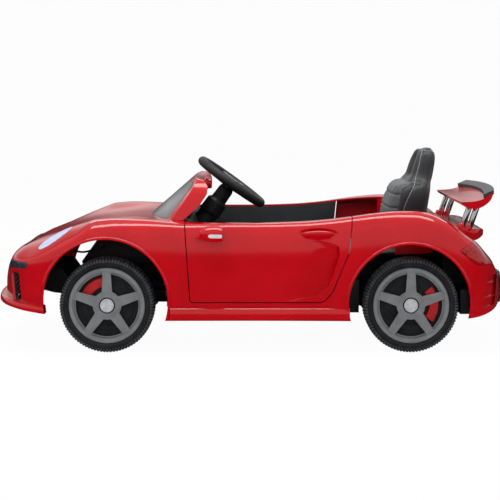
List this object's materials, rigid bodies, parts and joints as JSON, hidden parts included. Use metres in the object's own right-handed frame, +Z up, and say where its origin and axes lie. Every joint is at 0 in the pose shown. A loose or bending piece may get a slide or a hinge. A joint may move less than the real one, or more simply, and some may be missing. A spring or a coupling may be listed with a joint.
{
  "type": "electric ride-on car",
  "caption": "Child-size electric ride-on sports car with opening doors, steered front wheels, padded seat, pressed pedal and rear wing.",
  "frame": {"origin": "on the ground, midway along and across the car", "axes": "front is -X, the car's left side is -Y, +Z is up"},
  "size_m": [1.1291, 0.6364, 0.422],
  "materials": {
    "red_plastic": "glossy",
    "black_plastic": "fine grain",
    "grey_plastic": "satin",
    "dark_lens": "glossy",
    "clear_lens": "glossy, clear",
    "red_lens": "glossy",
    "tinted_panel": "glossy tint",
    "chrome": "bright plating",
    "steel": "bare",
    "wheel_plastic": "matt, blocky tread",
    "seat_cover": "soft grain, stitched",
    "lead_cover": "matt",
    "button_red": "glossy"
  },
  "bodies": {
    "body": {"battery": "black_plastic", "body_shell": "red_plastic", "chassis_tub": "black_plastic", "column_shroud": "black_plastic", "control_box": "black_plastic", "dashboard": "black_plastic", "drive_gearboxes": "black_plastic", "drive_motors": "steel", "engine_cover": "red_plastic", "front_beam": "black_plastic", "grilles": "black_plastic", "headlight_bowls": "black_plastic", "headlight_lenses": "clear_lens", "leads": "lead_cover", "marker_strips": "dark_lens", "rear_axle": "steel", "rear_trim": "black_plastic", "rear_view_mirror": "red_plastic", "seat_back": "seat_cover", "seat_cushion": "seat_cover", "steering_gearbox": "black_plastic", "tail_lamps": "red_lens", "windshield": "tinted_panel", "windshield_frame": "red_plastic", "wing": "red_plastic", "wing_flap": "grey_plastic", "wing_posts": "chrome"},
    "steering": {"steering_wheel": "black_plastic", "steering_trim": "grey_plastic", "steering_shaft": "steel"},
    "horn": {"horn_button": "black_plastic"},
    "drop_arm": {"drop_arm": "steel"},
    "tie_rod": {"tie_rod": "steel"},
    "knuckle_left": {"knuckle_left": "steel"},
    "knuckle_right": {"knuckle_right": "steel"},
    "door_left": {"door_left": "red_plastic", "door_liner_left": "black_plastic", "mirror_left": "red_plastic"},
    "door_right": {"door_right": "red_plastic", "door_liner_right": "black_plastic", "mirror_right": "red_plastic"},
    "pedal": {"pedal": "black_plastic"},
    "start_button": {"start_button": "button_red"},
    "direction_rocker": {"direction_rocker": "black_plastic"},
    "wheel_front_left": {"wheel_front_left": "wheel_plastic", "cover_front_left": "grey_plastic", "brake_front_left": "red_plastic", "cap_front_left": "chrome"},
    "wheel_front_right": {"wheel_front_right": "wheel_plastic", "cover_front_right": "grey_plastic", "brake_front_right": "red_plastic", "cap_front_right": "chrome"},
    "wheel_rear_left": {"wheel_rear_left": "wheel_plastic", "cover_rear_left": "grey_plastic", "brake_rear_left": "red_plastic", "cap_rear_left": "chrome"},
    "wheel_rear_right": {"wheel_rear_right": "wheel_plastic", "cover_rear_right": "grey_plastic", "brake_rear_right": "red_plastic", "cap_rear_right": "chrome"}
  },
  "joints": [
    {"name": "steering_turn", "type": "hinge", "parent": "body", "child": "steering", "pos_m": [-0.047, 0, 0.3445], "axis": [0.5878, 0, 0.809], "range_deg": [-40, 40]},
    {"name": "horn_press", "type": "slide", "parent": "steering", "child": "horn", "axis": [-0.5878, 0, -0.809], "range_m": [0, 0.0025], "stiffness_N_per_m": 800, "springref_m": -0.001},
    {"name": "drop_arm_swing", "type": "hinge", "parent": "body", "child": "drop_arm", "pos_m": [-0.306, 0, 0.113], "axis": [0, 0, 1], "range_deg": [-20, 20]},
    {"name": "knuckle_left_swing", "type": "hinge", "parent": "body", "child": "knuckle_left", "pos_m": [-0.306, -0.182, 0.1], "axis": [0, 0, 1], "range_deg": [-20, 20]},
    {"name": "knuckle_right_swing", "type": "hinge", "parent": "body", "child": "knuckle_right", "pos_m": [-0.306, 0.182, 0.1], "axis": [0, 0, 1], "range_deg": [-20, 20]},
    {"name": "tie_rod_swing", "type": "hinge", "parent": "knuckle_left", "child": "tie_rod", "pos_m": [-0.256, -0.182, 0.1195], "axis": [0, 0, 1], "range_deg": [-20, 20]},
    {"name": "door_left_swing", "type": "hinge", "parent": "body", "child": "door_left", "pos_m": [-0.155, -0.272, 0.18], "axis": [0, 0, -1], "range_deg": [0, 45]},
    {"name": "door_right_swing", "type": "hinge", "parent": "body", "child": "door_right", "pos_m": [-0.155, 0.272, 0.18], "axis": [0, 0, 1], "range_deg": [0, 45]},
    {"name": "pedal_press", "type": "hinge", "parent": "body", "child": "pedal", "pos_m": [-0.09, 0.07, 0.091], "axis": [0, -1, 0], "range_deg": [0, 12], "stiffness_Nm_per_rad": 5, "springref_deg": -5.73},
    {"name": "start_press", "type": "slide", "parent": "body", "child": "start_button", "axis": [-1, 0, 0], "range_m": [0, 0.003], "stiffness_N_per_m": 600, "springref_m": -0.001},
    {"name": "rocker_tip", "type": "hinge", "parent": "body", "child": "direction_rocker", "pos_m": [-0.127, 0.108, 0.232], "axis": [0, 1, 0], "range_deg": [-10, 10]},
    {"name": "front_left_spin", "type": "hinge", "parent": "knuckle_left", "child": "wheel_front_left", "pos_m": [-0.306, -0.236, 0.1], "axis": [0, 1, 0], "continuous": true},
    {"name": "front_right_spin", "type": "hinge", "parent": "knuckle_right", "child": "wheel_front_right", "pos_m": [-0.306, 0.236, 0.1], "axis": [0, 1, 0], "continuous": true},
    {"name": "rear_left_spin", "type": "hinge", "parent": "body", "child": "wheel_rear_left", "pos_m": [0.333, -0.236, 0.1], "axis": [0, 1, 0], "continuous": true},
    {"name": "rear_right_spin", "type": "hinge", "parent": "body", "child": "wheel_rear_right", "pos_m": [0.333, 0.236, 0.1], "axis": [0, 1, 0], "continuous": true}
  ],
  "couplings": [
    {"joint": "drop_arm_swing", "follows": "steering_turn", "ratio": 0.5},
    {"joint": "knuckle_left_swing", "follows": "steering_turn", "ratio": 0.5},
    {"joint": "knuckle_right_swing", "follows": "steering_turn", "ratio": 0.5},
    {"joint": "tie_rod_swing", "follows": "steering_turn", "ratio": -0.5}
  ]
}
